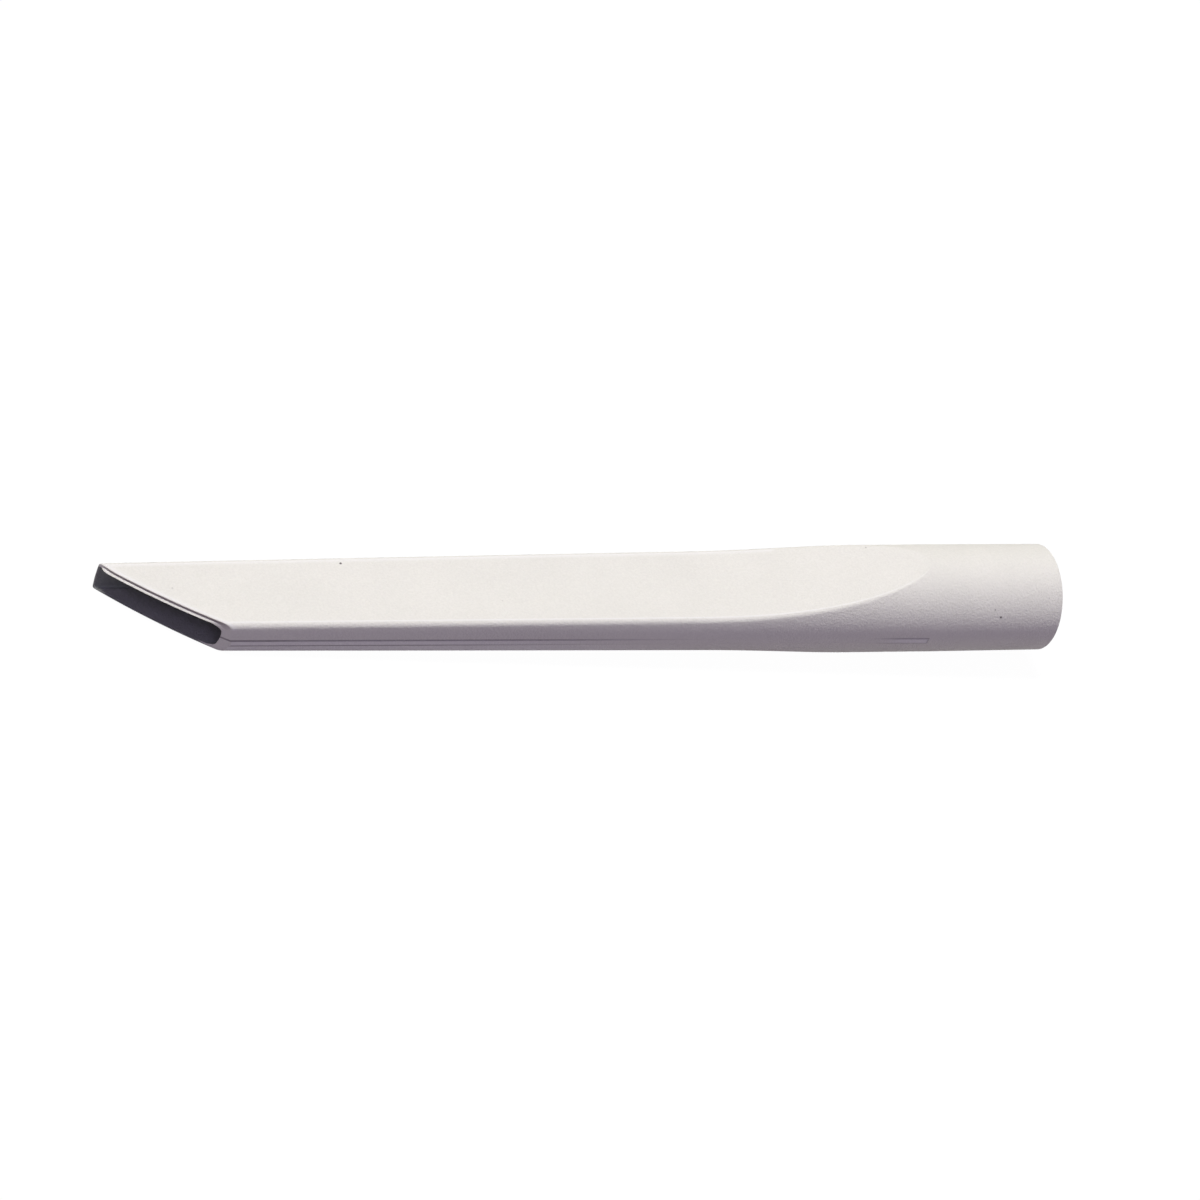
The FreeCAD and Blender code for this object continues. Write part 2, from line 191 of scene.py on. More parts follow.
# Ridge's band: heights below the widest line of its columns, close at the flanks, even on its face and
# one a little past it.
def makeBand():
    flanks = grid["flankColumns"]
    face = np.linspace(moulding["ridgeTop"], ridgeEnd, grid["ridgeColumns"])[1:-1]
    lower = [*(ridgeEnd - flanks[::-1]), ridgeEnd + grid["pastRidge"]]
    return np.concatenate([[0.0], moulding["ridgeTop"] + flanks, face, lower])


# Columns round the section, from the top's middle by the long lip's side: zone 0 is the flat, 1 its
# rounded corner, 2 the narrow side and 3 the band of the ridge, with the share of the way along each.
def makeColumns():
    def part(kind, shares, side, up):
        shares = np.asarray(shares, float)
        marks = [np.full_like(shares, mark) for mark in (kind, side, up)]
        return np.stack([marks[0], shares, marks[1], marks[2]])

    def along(count):
        return np.linspace(0, 1, count, endpoint=False)

    def backAlong(count):
        return np.linspace(1, 0, count, endpoint=False)

    flat, corner, side = grid["flatColumns"], grid["cornerColumns"], grid["sideColumns"]
    parts = [
        part(0, along(flat), 1, 1),
        part(1, along(corner), 1, 1),
        part(2, along(side), 1, 1),
        part(3, band, 1, -1),
        part(2, backAlong(side)[1:], 1, -1),
        part(1, backAlong(corner), 1, -1),
        part(0, backAlong(flat), 1, -1),
        part(0, along(flat), -1, -1),
        part(1, along(corner), -1, -1),
        part(2, along(side), -1, -1),
        part(3, band[::-1], -1, -1),
        part(2, backAlong(side)[1:], -1, 1),
        part(1, backAlong(corner), -1, 1),
        part(0, backAlong(flat), -1, 1),
    ]
    return np.concatenate(parts, axis=1)


band = makeBand()
zone, share, sideSign, upSign = makeColumns()
onRidge = (zone == 3) & (share > moulding["ridgeTop"]) & (share < ridgeEnd)
onTop, onFarSide = upSign > 0, sideSign > 0


# Corner: the angle on the oval where a rounding that also touches the flat begins, found by halving.
# The rounding's centre lies a radius inside the oval along its normal, and a radius below the flat.
def cornerAngle(halfWidth, halfHeight, height, radius):
    halvings = 44
    low = np.zeros_like(height)
    high = np.full_like(height, math.pi / 2)
    for step in range(halvings):
        middle = (low + high) / 2
        slant = np.hypot(np.cos(middle) / halfWidth, np.sin(middle) / halfHeight)
        centre = halfHeight * np.sin(middle) - radius * np.sin(middle) / halfHeight / slant
        short = centre < height - radius
        low = np.where(short, middle, low)
        high = np.where(short, high, middle)
    return (low + high) / 2


# Section: an upright oval cut off flat above and below, with rounded corners. Past the end of the flat
# it is the whole oval, and the columns open out again over it.
def sectionOf(halfWidth, halfHeight, height, radius, bandScale):
    angle = cornerAngle(halfWidth, halfHeight, height, radius)
    normalY, normalN = np.cos(angle) / halfWidth, np.sin(angle) / halfHeight
    slant = np.hypot(normalY, normalN)
    centreY = halfWidth * np.cos(angle) - radius * normalY / slant
    cornerTurn = math.pi / 2 + (np.arctan2(normalN, normalY) - math.pi / 2) * share
    bandEnd = np.arcsin(np.clip(band[-1] * bandScale / halfHeight, 0, 1))
    lastAngle = np.where(onTop, 0.0, bandEnd)
    sideAngle = blend(angle, lastAngle, share)
    y = np.select([zone == 0, zone == 1], [centreY * share, centreY + radius * np.cos(cornerTurn)],
                  halfWidth * np.cos(sideAngle))
    n = np.select([zone == 0, zone == 1], [height, height - radius + radius * np.sin(cornerTurn)],
                  halfHeight * np.sin(sideAngle))
    # past the flat
    whole = height >= halfHeight
    kept, gained = grid["openAngle"]
    opened = kept + gained * easeBetween(height - halfHeight, 0.0, grid["openHeight"])
    flatShare = grid["openFlat"]
    spread = np.select([zone == 0, zone == 1], [flatShare * share, blend(flatShare, 1, share)], 1.0)
    wholeAngle = math.pi / 2 - opened * spread
    wholeAngle = np.where(zone == 2, blend(wholeAngle, lastAngle, share), wholeAngle)
    y = np.where(whole, halfWidth * np.cos(wholeAngle), y)
    n = np.where(whole, halfHeight * np.sin(wholeAngle), n)
    # the ridge's band has fixed heights
    bandN = share * bandScale
    y = np.where(zone == 3, halfWidth * np.sqrt(1 - (bandN / halfHeight) ** 2), y)
    n = np.where(zone == 3, bandN, n)
    return y * sideSign, n * upSign


# Outside at x: an even taper takes the mouth's oval to the collar's circle, the top falls to its lip by the
# square of the nearness to it, and the ridge's band stands at least its rise out from the widest line.
def outsideAt(x):
    taper = np.clip(x / moulding["collarX"], None, 1)
    halfWidth = blend(moulding["mouthHalfWidth"], moulding["collarRadius"], taper)
    halfHeight = blend(moulding["mouthCrown"], moulding["collarRadius"], taper)
    mouth, knee = moulding["mouthHalfThickness"], moulding["kneeHalfThickness"]
    height = faceHeight(x, mouth, knee, moulding["collarRadius"])
    radius = np.where(onTop, moulding["edgeRound"], moulding["lowEdgeRound"])
    y, n = sectionOf(halfWidth, halfHeight, height, radius, 1.0)
    ahead = np.clip(1 - (x - mouthX(y, n)) / moulding["lipFallReach"], 0, 1)
    bends = np.select([zone == 0, zone == 1], [1, 1 - share], 0) * onTop
    n = n - moulding["lipFall"] * bends * ahead**2
    rise, fade = moulding["ridgeHeight"], moulding["ridgeFade"]
    sinkX, riseX = moulding["ridgeSink"], moulding["tongueX"]
    lift = np.interp(x, [sinkX - fade, sinkX, riseX - fade, riseX], [rise, -rise, -rise, rise])
    raised = sideSign * np.maximum(np.abs(y), halfWidth + lift)
    y = np.where(onRidge & (x < riseX), raised, y)
    return np.stack([np.broadcast_to(x, y.shape), y, n], axis=-1)


# Passage at x: the same kind of section, set to the long lip's side at the mouth, with a roof and a
# floor of their own.
def passageAt(x):
    taper = np.clip(x / moulding["boreX"], None, 1)
    near, far, wall = moulding["nearLip"], moulding["farLip"], moulding["wall"]
    mouthHalf = moulding["mouthHalfWidth"] - (near + far) / 2
    halfWidth = blend(mouthHalf, moulding["throatRadius"], taper)
    halfHeight = blend(moulding["mouthCrown"] - wall, moulding["throatRadius"], taper)
    middle = blend((near - far) / 2, 0, taper)
    knee = moulding["kneeHalfThickness"] - wall
    tongue = moulding["collarRadius"] - wall
    roof = faceHeight(x, moulding["mouthHalfThickness"] - moulding["topLip"], knee, tongue)
    floor = faceHeight(x, moulding["mouthHalfThickness"] - moulding["lowLip"], knee, tongue)
    height = np.where(onTop, roof, floor)
    radius = np.where(onFarSide, moulding["farSlotRound"], moulding["nearSlotRound"])
    y, n = sectionOf(halfWidth, halfHeight, height, radius, grid["innerBand"])
    return np.stack([np.broadcast_to(x, y.shape), y + middle, n], axis=-1)


# Mouth line of a surface: from a first guess, x and y agree on the bowed cut after a few rounds.
def mouthOf(surfaceAt):
    guess, rounds = 10.0, 12
    x = np.full((1, zone.size), guess)
    for step in range(rounds):
        points = surfaceAt(x)
        x = mouthX(points[..., 1], points[..., 2])
    return x


# Straight rows: even stretches, then rows that close in on the end of a flat from both sides, by the
# squares of even distances.
def straightRows(stretches, tipX, roots):
    even = [np.linspace(*stretch) for stretch in stretches]
    before, after = [np.linspace(*root) ** 2 for root in roots]
    return np.concatenate([*even, tipX - before, tipX + after])


# Rows along a surface: from the mouth line they slant with it and turn straight by the slant's end.
def rowsAlong(surfaceAt, lipRows, every, straight):
    start = mouthOf(surfaceAt)
    setBacks = np.array([grid["lipRow"] * moulding["lipRound"], *lipRows])
    stretches = np.linspace(0, 1, grid["slantRows"])[grid["slantSkip"]:] ** grid["slantBias"]
    slanted = start + setBacks[:, None]
    stretched = start + (grid["slantEnd"] - start) * stretches[::every, None]
    plain = np.repeat(np.unique(np.round(straight, 4))[:, None], zone.size, axis=1)
    return surfaceAt(np.concatenate([slanted, stretched, plain]))


# Outer rows: along the outside from the mouth to the collar's rounded edge.
def outerSurface():
    tongueX, stop = moulding["tongueX"], grid["ridgeStop"]
    duct = straightRows(grid["outerStretches"], tongueX + grid["tipShift"], grid["outerTip"])
    collar = np.linspace(*grid["collarStretch"])
    straight = np.concatenate([duct, [tongueX - stop, tongueX + stop], collar])
    return rowsAlong(outsideAt, grid["outerLipRows"], 1, straight)


# Inner rows: along the passage from the mouth to the throat, with every other slanted row.
def innerSurface():
    straight = straightRows(grid["innerStretches"], moulding["innerTongueX"], grid["innerTip"])
    return rowsAlong(passageAt, grid["innerLipRows"], 2, straight)


# Ring of the socket: a circle of one radius at one x, with the columns where the section has them.
def socketRing(x, radius):
    y, n = outsideAt(np.full((1, zone.size), moulding["length"]))[..., 1:].transpose(2, 0, 1)
    scale = radius / np.hypot(y, n)
    return np.stack([np.full(scale.shape, float(x)), y * scale, n * scale], axis=-1)


# Socket: the collar's edge as a quarter round, the lead-in, the bore and the step that stops the wand.
def socketSurface():
    length, edge = moulding["length"], moulding["collarEdge"]
    turn = np.linspace(0, math.pi / 2, grid["edgeRows"])[1:]
    endX = length - edge + edge * np.sin(turn)
    endRadius = moulding["collarRadius"] - edge * (1 - np.cos(turn))
    bore, lead, stopX = moulding["boreRadius"], moulding["leadIn"], moulding["boreX"]
    soft, sharp = grid["leadStep"], grid["stopStep"]
    rings = [
        *zip(endX, endRadius),
        (length, bore + lead + soft),
        (length - soft, bore + lead),
        (length - lead + soft, bore + soft),
        (length - lead - sharp, bore),
        *[(length - back, bore) for back in grid["boreRows"]],
        (stopX + sharp, bore),
        (stopX, bore - sharp),
        (stopX, moulding["throatRadius"] + sharp),
    ]
    return np.concatenate([socketRing(x, radius) for x, radius in rings])


# Mouth rim: rows on the cut from the inner mouth line, share 1, to the outer one, share 0, edges rounded.
# Along the top it is set back to the step's share, and from there it slopes out to its lower edge.
def mouthRim():
    widestEdge, edgeDepth = 0.2, 1.7  # share of the rim's width, and lip roundings along x
    edgeAcross = np.array([0.0, 0.1, 0.3, 0.65, 1.0])[:, None]  # rows across a rounded edge
    edgeBack = np.array([1.1, 0.62, 0.3, 0.07, 0.0])  # and how far back they lie
    slopeRows = np.array([0.75, 0.5, 0.25, 0.08])[:, None]
    ledgeRows = np.array([0.93, 0.6, 0.3])[:, None]
    rho = moulding["lipRound"]
    outerLip = outsideAt(mouthOf(outsideAt))[0]
    innerLip = passageAt(mouthOf(passageAt))[0]
    edge = np.minimum(rho / np.linalg.norm((innerLip - outerLip)[:, 1:], axis=-1), widestEdge)[None]
    ledge = np.full_like(edge, moulding["rimStepShare"])
    shares = np.concatenate([
        1 - edge * edgeAcross,
        ledge + (1 - edge - ledge) * slopeRows,
        ledge,
        edge + (ledge - edge) * ledgeRows,
        edge * edgeAcross[::-1],
    ])
    level = np.zeros(len(shares) - 2 * len(edgeBack))
    setIn = np.concatenate([edgeBack, level, edgeBack[::-1]])[:, None] * edgeDepth * rho
    flatStep = np.where(onFarSide, 1 - easeBetween(share, *moulding["rimStepFade"]), 1.0)
    cornerStep = np.where(onFarSide, 0, 1 - share)
    stepped = np.select([zone == 0, zone == 1], [flatStep, cornerStep], 0) * onTop
    out = np.clip((shares - ledge) / (1 - edge - ledge), 0, 1) * stepped
    place = outerLip[None, :, 1:] + (innerLip - outerLip)[None, :, 1:] * shares[..., None]
    x = mouthX(place[..., 0], place[..., 1]) + setIn - moulding["rimStep"] * out
    # Painted shade: the set-back outer part of the top rim is darkened, down to the step's edge.
    shadeStart, shadeStop = paintedLight["stepShadeFade"]
    begun = np.clip(shares * paintedLight["stepShadeSlope"], 0, 1)
    stepShade = stepped * begun * (1 - easeBetween(shares, ledge + shadeStart, ledge + shadeStop))
    return np.concatenate([x[..., None], place], axis=-1), shares, stepShade


# Painted shade in the passage: strongest at the far wall's tip, less along it and gone by the socket.
def shadePassage(innerRows):
    x = innerRows[..., 0]
    farWall = ((zone > 0) & onFarSide) * (1 - easeBetween(x, *paintedLight["tipShadeFade"]))
    return (paintedLight["passageShade"] + paintedLight["tipShade"] * farWall) * (1 - easeBetween(x, *paintedLight["passageShadeFade"]))


# Painted shade on the rim: it lies over the thin lower and far lips, stronger towards the inside.
def shadeRim(rimShares):
    thinLips = ((zone == 0) & ~onTop) | (onFarSide & (~onTop | (zone >= 2)))
    return np.where(thinLips, np.clip(rimShares * paintedLight["lipShadeSlope"], *paintedLight["lipShade"]), 0)


# Painted highlights: on the top's lip and long edges and on the ridge where it stands out, and painted
# light on the low edges along the duct. The strongest one holds at each point.
def paintHighlights(outerRows):
    x = outerRows[..., 0]
    setBack = x - mouthX(outerRows[..., 1], outerRows[..., 2])
    lipHighlight = np.clip(paintedLight["lipHighlight"] - setBack / moulding["lipFallReach"], 0, 1) * ((zone < 2) & onTop)
    highlightEnd = np.where(onFarSide, moulding["kneeX"], moulding["tongueX"])
    edgeHighlight = np.interp(share, *paintedLight["edgeHighlight"]) * ((zone == 1) & onTop) * (x < highlightEnd)
    onCollar = easeBetween(x, *paintedLight["ridgeHighlightReturn"]) * (x < moulding["tongueX"])
    ridgeHighlight = onRidge * np.maximum(onCollar, 1 - easeBetween(x, *paintedLight["ridgeHighlightFade"]))
    lowEdges = ((zone == 1) | (zone == 2)) & ~onTop
    lowLight = lowEdges * (1 - easeBetween(x, *paintedLight["lowLightFade"]))
    return np.max([lipHighlight, edgeHighlight, ridgeHighlight, lowLight], axis=0)


# Whole moulding: outside, socket, passage and mouth rim are one surface that closes on itself both ways.
# Each point also gets its painted shade in the passage and on the thin lips, whether it is outside, its
# painted shade above the rim's step, its painted highlight and its place.
def mouldingRows():
    outerRows, socketRows, innerRows = outerSurface(), socketSurface(), innerSurface()[::-1]
    rimRows, rimShares, rimStepShade = mouthRim()
    rows = np.concatenate([outerRows, socketRows, innerRows, rimRows])
    outerEnd, rimStart = len(outerRows), len(rows) - len(rimRows)
    values = {name: np.zeros(rows.shape[:2]) for name in ("innerShade", "outside", "stepShade", "paintedHighlight")}
    # painted shade in the passage and on the thin lips
    values["innerShade"][rimStart - len(innerRows):rimStart] = shadePassage(innerRows)
    values["innerShade"][rimStart:] = shadeRim(rimShares)
    values["outside"][:outerEnd] = 1
    # painted shade on the rim above its step
    values["stepShade"][rimStart:] = rimStepShade
    # painted highlights on the edges and painted light on the low edges
    values["paintedHighlight"][:outerEnd] = paintHighlights(outerRows)
    values["mouldPlace"] = rows
    print("moulding:", rows.shape[0], "rows of", rows.shape[1], "columns")
    return rows, values


# Rest: the tool is pitched and rolled on to its lower lip and collar, moved over the origin and taken
# from mm to metres.
def layDown(points):
    pitch, roll = math.radians(moulding["pitch"]), math.radians(moulding["roll"])
    cosP, sinP, cosR, sinR = math.cos(pitch), math.sin(pitch), math.cos(roll), math.sin(roll)
    aboutY = np.array([[cosP, 0, sinP], [0, 1, 0], [-sinP, 0, cosP]])
    aboutX = np.array([[1, 0, 0], [0, cosR, -sinR], [0, sinR, cosR]])
    return (points @ (aboutX @ aboutY).T + np.array(moulding["place"])) / 1000


# Closed grid: each cell of rows and columns is a quad, and both run round to their start.
def closedGrid(name, points, values):
    rowCount, columnCount = points.shape[:2]
    index = np.arange(rowCount * columnCount).reshape(rowCount, columnCount)
    nextRow = np.roll(index, -1, axis=0)
    quads = np.stack([index, nextRow, np.roll(nextRow, -1, axis=1), np.roll(index, -1, axis=1)], axis=-1)
    mesh = bpy.data.meshes.new(name)
    mesh.from_pydata(points.reshape(-1, 3), [], quads.reshape(-1, 4).tolist())
    for key, value in values.items():
        wide = value.ndim == 3
        layer = mesh.attributes.new(key, "FLOAT_VECTOR" if wide else "FLOAT", "POINT")
        layer.data.foreach_set("vector" if wide else "value", value.astype(np.float32).ravel())
    mesh.polygons.foreach_set("use_smooth", np.ones(len(mesh.polygons), bool))
    mesh.update()
    piece = bpy.data.objects.new(name, mesh)
    bpy.context.scene.collection.objects.link(piece)
    return piece


rows, shellValues = mouldingRows()
shell = closedGrid("nozzle_shell", layDown(rows), shellValues)
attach(shell, "root")
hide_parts("crevice_nozzle")
print("moulding: shell made,", len(shell.data.polygons), "faces")


# Node of a kind, with its settings.
def addNode(tree, kind, **settings):
    node = tree.nodes.new(kind)
    for key, value in settings.items():
        setattr(node, key, value)
    return node


# Link from an output to an input.
def feed(tree, source, target):
    tree.links.new(source, target)


# One of the mesh's own attributes.
def attributeOf(tree, name, output="Fac"):
    return addNode(tree, "ShaderNodeAttribute", attribute_name=name).outputs[output]


# Sum, product and the like of two values, each a socket or a number.
def combine(tree, operation, first, second):
    node = addNode(tree, "ShaderNodeMath", operation=operation)
    for slot, value in zip(node.inputs, (first, second)):
        if isinstance(value, (int, float)):
            slot.default_value = value
        else:
            feed(tree, value, slot)
    return node.outputs["Value"]


# Smooth change of a value from one range to another.
def carry(tree, value, fromRange, toRange):
    node = addNode(tree, "ShaderNodeMapRange", interpolation_type="SMOOTHSTEP")
    feed(tree, value, node.inputs["Value"])
    node.inputs["From Min"].default_value, node.inputs["From Max"].default_value = fromRange
    node.inputs["To Min"].default_value, node.inputs["To Max"].default_value = toRange
    return node.outputs["Result"]


# Colour that is mixed towards another one, or multiplied by it, by a mask.
def tint(tree, base, colour, mask, way="MIX"):
    node = addNode(tree, "ShaderNodeMix", data_type="RGBA", blend_type=way)
    feed(tree, mask, node.inputs["Factor"])
    feed(tree, base, node.inputs[6])
    node.inputs[7].default_value = colour
    return node.outputs[2]


# Material with an empty tree and its output.
def startMaterial(name):
    material = bpy.data.materials.new(name)
    material.use_nodes = True
    material.node_tree.nodes.clear()
    output = addNode(material.node_tree, "ShaderNodeOutputMaterial")
    return material, material.node_tree, output


plastic = {
    "colour": (0.862, 0.843, 0.78, 1),
    # painted shade in the passage and on the thin lips
    "passageShadeColour": (0.205, 0.218, 0.207, 1),
    # painted shade along the ridge's edges
    "seamShadeColour": (0.38, 0.35, 0.38, 1),
    # painted shade on the rim above its step
    "stepShadeColour": (0.4, 0.36, 0.38, 1),
    # painted highlight on the edges and painted light on the low edges
    "highlightColour": (0.95, 0.935, 0.9, 1),
    "speckColour": (0.12, 0.1, 0.1, 1),
    "grainScale": 1350.0,  # per metre
    "grainDetail": 3.0,
    "grainRoughness": 0.6,
    "grainDepth": 0.00024,
    "toneScale": 45.0,
    "toneChange": 0.03,  # slow changes of tone, up and down
    "fleckChange": 0.06,  # and fine ones, with the grain
    "roughness": (0.5, 0.62),
    "specular": 0.28,
    "seamWidth": (0.15, 0.5),  # half width of the dark core of a seam's painted shade and of its fade, in mm
    # stretch of x over which a seam fades out, or in on the collar, and its strength before or after
    "mouthSeam": ((52.0, 78.0), 1.0),
    "upperSeam": ((122.0, 205.0), 0.74),
    "lowerSeam": ((90.0, 180.0), 1.0),
    "collarSeam": ((252.0, 266.0), 0.55),
    "speckCore": 0.3,  # share of a speck's radius that is darkest
    # place in the moulding's frame, radius in mm and strength
    "specks": [
        ((299.5, -16.4, 8.0), 0.6, 0.95),
        ((297.0, -15.0, 10.3), 0.45, 0.5),
        ((317.1, -12.6, 13.2), 0.34, 0.35),
        ((308.7, -15.2, 10.0), 0.34, 0.3),
        ((76.6, 11.4, 6.5), 0.62, 1.0),
        ((22.1, 1.9, 6.0), 0.5, 0.25),
        ((255.9, 10.2, 14.2), 0.45, 0.35),
        ((126.5, -5.6, 7.0), 0.4, 0.15),
    ],
}


# Moulded grain: fine noise for the spark-eroded skin and a broad one for slow changes of tone.
def grainGroup():
    group = bpy.data.node_groups.new("moulded grain", "ShaderNodeTree")
    group.interface.new_socket("Vector", in_out="INPUT", socket_type="NodeSocketVector")
    group.interface.new_socket("Grain Scale", in_out="INPUT", socket_type="NodeSocketFloat")
    group.interface.new_socket("Height", in_out="OUTPUT", socket_type="NodeSocketFloat")
    group.interface.new_socket("Tone", in_out="OUTPUT", socket_type="NodeSocketFloat")
    inlet = addNode(group, "NodeGroupInput")
    outlet = addNode(group, "NodeGroupOutput")
    fine = addNode(group, "ShaderNodeTexNoise")
    fine.inputs["Detail"].default_value = plastic["grainDetail"]
    fine.inputs["Roughness"].default_value = plastic["grainRoughness"]
    broad = addNode(group, "ShaderNodeTexNoise")
    broad.inputs["Scale"].default_value = plastic["toneScale"]
    broad.inputs["Detail"].default_value = plastic["grainDetail"]
    feed(group, inlet.outputs["Vector"], fine.inputs["Vector"])
    feed(group, inlet.outputs["Grain Scale"], fine.inputs["Scale"])
    feed(group, inlet.outputs["Vector"], broad.inputs["Vector"])
    feed(group, fine.outputs["Fac"], outlet.inputs["Height"])
    feed(group, broad.outputs["Fac"], outlet.inputs["Tone"])
    return group


# Painted shade of the ridge's grooves: a thin dark line along each edge of the ridge and across its square
# end, fading where the ridge sinks. The upper one, the mould's parting line, also crosses the rim.
def seamShadeMask(tree, along, height, outside):
    halfRidge, endX = moulding["ridgeWidth"] / 2, moulding["tongueX"]
    collarStretch, collarStrength = plastic["collarSeam"]
    seamFade = plastic["seamWidth"][1]

    def awayFrom(value, level):
        return combine(tree, "ABSOLUTE", combine(tree, "SUBTRACT", value, level), 0)

    def line(value, level):
        return carry(tree, awayFrom(value, level), plastic["seamWidth"], (1.0, 0.0))

    def fading(key):
        stretch, strength = plastic[key]
        return carry(tree, along, stretch, (strength, 0.0))

    onCollar = combine(tree, "MULTIPLY", carry(tree, along, collarStretch, (0.0, collarStrength)),
                       carry(tree, along, (endX, endX + seamFade), (1.0, 0.0)))
    upperRun = combine(tree, "MAXIMUM", fading("mouthSeam"), fading("upperSeam"))
    upper = combine(tree, "MULTIPLY", line(height, -moulding["ridgeTop"]),
                    combine(tree, "MAXIMUM", upperRun, onCollar))
    lower = combine(tree, "MULTIPLY", line(height, -ridgeEnd),
                    combine(tree, "MAXIMUM", fading("lowerSeam"), onCollar))
    across = carry(tree, awayFrom(height, halfRidge - ridgeEnd),
                   (halfRidge, halfRidge + seamFade), (collarStrength, 0.0))
    end = combine(tree, "MULTIPLY", line(along, endX), across)
    outer = combine(tree, "MULTIPLY", combine(tree, "MAXIMUM", lower, end), outside)
    return combine(tree, "MAXIMUM", upper, outer)


# Specks: each is a spot that fades out over its radius.
def speckMask(tree, place):
    total = None
    for centre, radius, strength in plastic["specks"]:
        away = addNode(tree, "ShaderNodeVectorMath", operation="DISTANCE")
        feed(tree, place, away.inputs[0])
        away.inputs[1].default_value = centre
        core = radius * plastic["speckCore"]
        spot = carry(tree, away.outputs["Value"], (core, radius), (strength, 0.0))
        total = spot if total is None else combine(tree, "MAXIMUM", total, spot)
    return total


# Off-white plastic: grain and changes of tone over the colour, a painted highlight on the edges, painted
# shade along the ridge's edges, dark specks, painted shade on the rim above its step, and painted shade in
# the passage and on the thin lips.
def makePlastic():
    material, tree, output = startMaterial("off_white_plastic")
    shader = addNode(tree, "ShaderNodeBsdfPrincipled")
    shader.inputs["Specular IOR Level"].default_value = plastic["specular"]
    place = addNode(tree, "ShaderNodeTexCoord")
    grain = addNode(tree, "ShaderNodeGroup", node_tree=grainGroup())
    grain.inputs["Grain Scale"].default_value = plastic["grainScale"]
    feed(tree, place.outputs["Object"], grain.inputs["Vector"])
    bump = addNode(tree, "ShaderNodeBump")
    bump.inputs["Distance"].default_value = plastic["grainDepth"]
    bump.inputs["Strength"].default_value = 1.0
    feed(tree, grain.outputs["Height"], bump.inputs["Height"])
    feed(tree, bump.outputs["Normal"], shader.inputs["Normal"])
    sheen = carry(tree, grain.outputs["Tone"], (0.0, 1.0), plastic["roughness"])
    feed(tree, sheen, shader.inputs["Roughness"])
    change, fleck = plastic["toneChange"], plastic["fleckChange"]
    slow = carry(tree, grain.outputs["Tone"], (0.0, 1.0), (1 - change, 1 + change))
    fine = carry(tree, grain.outputs["Height"], (0.0, 1.0), (1 - fleck, 1 + fleck))
    tone = addNode(tree, "ShaderNodeMix", data_type="RGBA", blend_type="MULTIPLY")
    tone.inputs["Factor"].default_value = 1.0
    tone.inputs[6].default_value = plastic["colour"]
    feed(tree, combine(tree, "MULTIPLY", slow, fine), tone.inputs[7])
    mouldPlace = attributeOf(tree, "mouldPlace", "Vector")
    parts = addNode(tree, "ShaderNodeSeparateXYZ")
    feed(tree, mouldPlace, parts.inputs["Vector"])
    seamShade = seamShadeMask(tree, parts.outputs["X"], parts.outputs["Z"], attributeOf(tree, "outside"))
    # painted highlight on the edges and painted light on the low edges
    colour = tint(tree, tone.outputs[2], plastic["highlightColour"], attributeOf(tree, "paintedHighlight"))
    # painted shade along the ridge's edges
    colour = tint(tree, colour, plastic["seamShadeColour"], seamShade, "MULTIPLY")
    # painted shade on the rim above its step
    colour = tint(tree, colour, plastic["stepShadeColour"], attributeOf(tree, "stepShade"), "MULTIPLY")
    colour = tint(tree, colour, plastic["speckColour"], speckMask(tree, mouldPlace))
    # painted shade in the passage and on the thin lips
    colour = tint(tree, colour, plastic["passageShadeColour"], attributeOf(tree, "innerShade"))
    feed(tree, colour, shader.inputs["Base Color"])
    feed(tree, shader.outputs["BSDF"], output.inputs["Surface"])
    return material


shell.data.materials.append(makePlastic())
print("moulding: plastic made")

studio = {
    "floorSide": 8.0,
    "floorShade": 0.045,  # share of the floor's white that takes the shadow
    "floorGlow": 0.97815,  # the rest of its white, a little over so that it reads as plain white
    "floorBounce": (0.28, 0.25, 0.275, 1),
    "worldFill": (0.09, 0.081, 0.09, 1),
    # strength, colour, size and turn in degrees of each lamp
    "lamps": {
        "overhead_key": (2.64, (1.0, 1.0, 0.97), 14.0, (-6.5, -8.0, 0.0)),
        "front_fill": (0.42, (0.64, 0.55, 1.0), 40.0, (42.0, -10.0, 0.0)),
    },
    "sensor": 36.0,
    "lens": 79.5528,
    "cameraReach": 50.0,
    "cameraPlace": (-0.310795, -0.576025, 0.57763),
    "cameraTurn": (47.34528, -15.61115, -14.4684),
}


# 1 for rays that show a background, from the camera, by a reflection or through something, 0 for others.
def whenSeen(tree):
    path = addNode(tree, "ShaderNodeLightPath").outputs
    first = combine(tree, "MAXIMUM", path["Is Camera Ray"], path["Is Glossy Ray"])
    return combine(tree, "MAXIMUM", first, path["Is Transmission Ray"])


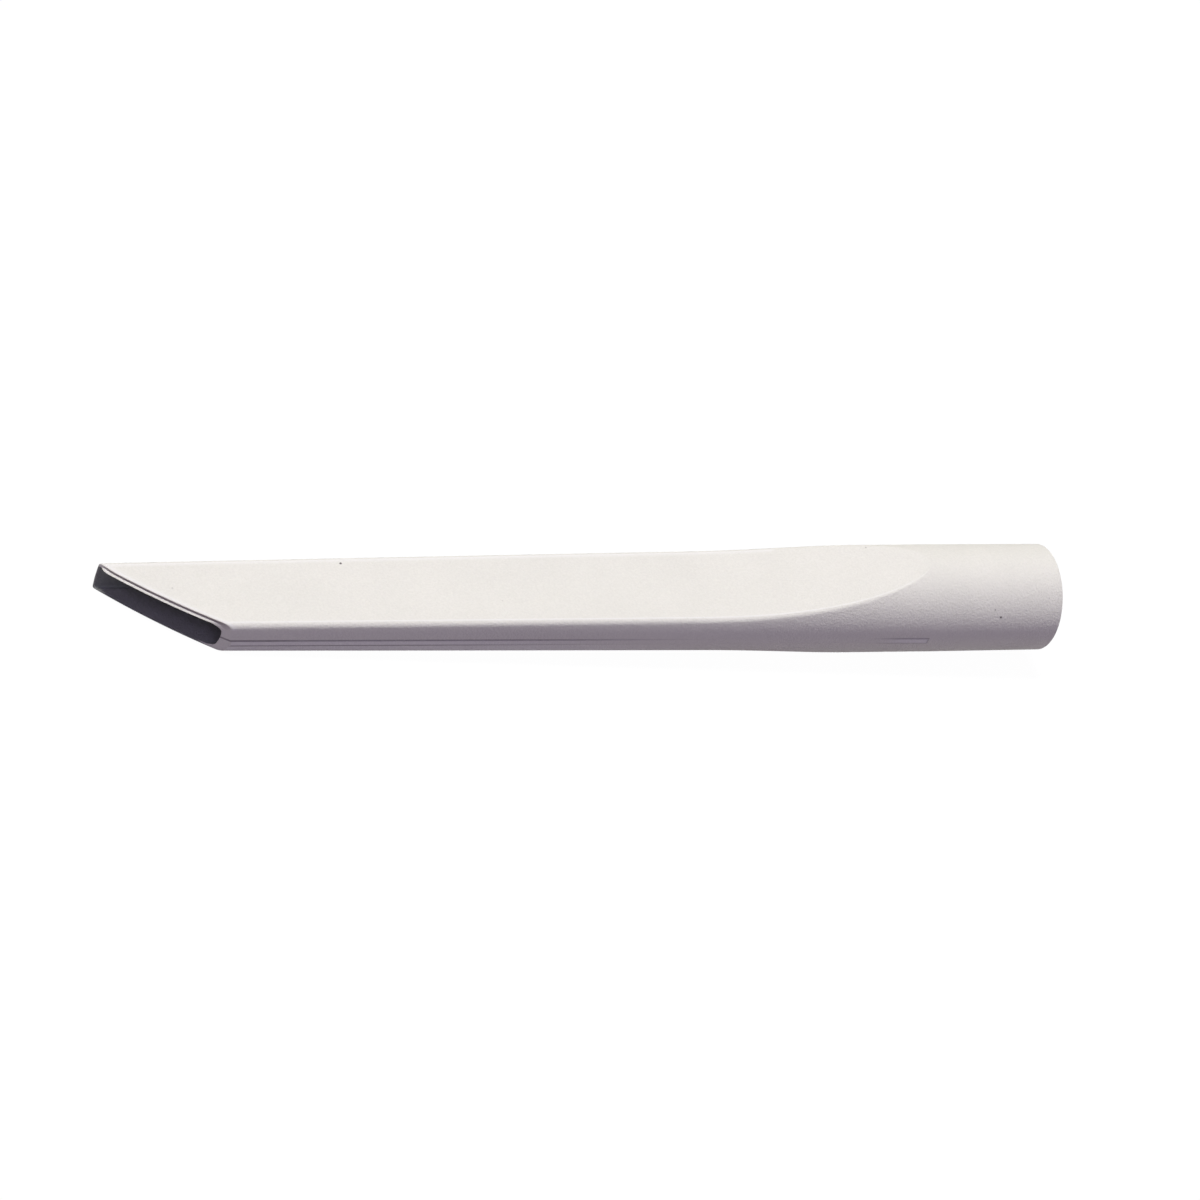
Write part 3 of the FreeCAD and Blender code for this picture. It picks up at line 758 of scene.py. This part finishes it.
# Floor: white to the camera with the object's shadow on it, greyer to the light that bounces off it.
def makeFloor():
    half = studio["floorSide"] / 2
    corners = np.array([[-1, -1, 0], [1, -1, 0], [1, 1, 0], [-1, 1, 0]], float) * half
    mesh = bpy.data.meshes.new("studio_floor")
    mesh.from_pydata(corners, [], [(0, 1, 2, 3)])
    floor = bpy.data.objects.new("studio_floor", mesh)
    bpy.context.scene.collection.objects.link(floor)
    material, tree, output = startMaterial("studio_white")
    shade = studio["floorShade"]
    matte = addNode(tree, "ShaderNodeBsdfDiffuse")
    matte.inputs["Color"].default_value = (shade, shade, shade, 1)
    glow = addNode(tree, "ShaderNodeEmission")
    glow.inputs["Strength"].default_value = studio["floorGlow"]
    both = addNode(tree, "ShaderNodeAddShader")
    feed(tree, matte.outputs["BSDF"], both.inputs[0])
    feed(tree, glow.outputs["Emission"], both.inputs[1])
    bounce = addNode(tree, "ShaderNodeBsdfDiffuse")
    bounce.inputs["Color"].default_value = studio["floorBounce"]
    choose = addNode(tree, "ShaderNodeMixShader")
    feed(tree, whenSeen(tree), choose.inputs["Fac"])
    feed(tree, bounce.outputs["BSDF"], choose.inputs[1])
    feed(tree, both.outputs["Shader"], choose.inputs[2])
    feed(tree, choose.outputs["Shader"], output.inputs["Surface"])
    floor.data.materials.append(material)


# World: white where it is seen, and a dim fill to the object.
def makeWorld():
    world = bpy.data.worlds.new("studio")
    bpy.context.scene.world = world
    world.use_nodes = True
    tree = world.node_tree
    tree.nodes.clear()
    output = addNode(tree, "ShaderNodeOutputWorld")
    fill = addNode(tree, "ShaderNodeBackground")
    fill.inputs["Color"].default_value = studio["worldFill"]
    white = addNode(tree, "ShaderNodeBackground")
    white.inputs["Color"].default_value = (1, 1, 1, 1)
    choose = addNode(tree, "ShaderNodeMixShader")
    feed(tree, whenSeen(tree), choose.inputs["Fac"])
    feed(tree, fill.outputs["Background"], choose.inputs[1])
    feed(tree, white.outputs["Background"], choose.inputs[2])
    feed(tree, choose.outputs["Shader"], output.inputs["Surface"])


# Lamps: soft suns, each turned from straight down.
def makeLamps():
    for name, (strength, colour, size, turn) in studio["lamps"].items():
        lamp = bpy.data.lights.new(name, "SUN")
        lamp.energy = strength
        lamp.color = colour
        lamp.angle = math.radians(size)
        source = bpy.data.objects.new(name, lamp)
        source.rotation_euler = [math.radians(angle) for angle in turn]
        bpy.context.scene.collection.objects.link(source)


# Camera: at the photograph's viewing angle.
def makeCamera():
    lens = bpy.data.cameras.new("camera")
    lens.sensor_width = studio["sensor"]
    lens.lens = studio["lens"]
    lens.clip_end = studio["cameraReach"]
    camera = bpy.data.objects.new("camera", lens)
    camera.location = studio["cameraPlace"]
    camera.rotation_euler = [math.radians(angle) for angle in studio["cameraTurn"]]
    bpy.context.scene.collection.objects.link(camera)
    bpy.context.scene.camera = camera


makeFloor()
makeWorld()
makeLamps()
makeCamera()
bpy.context.scene.view_settings.view_transform = "Standard"
print("studio: floor, light and camera made")

bpy.context.view_layer.update()
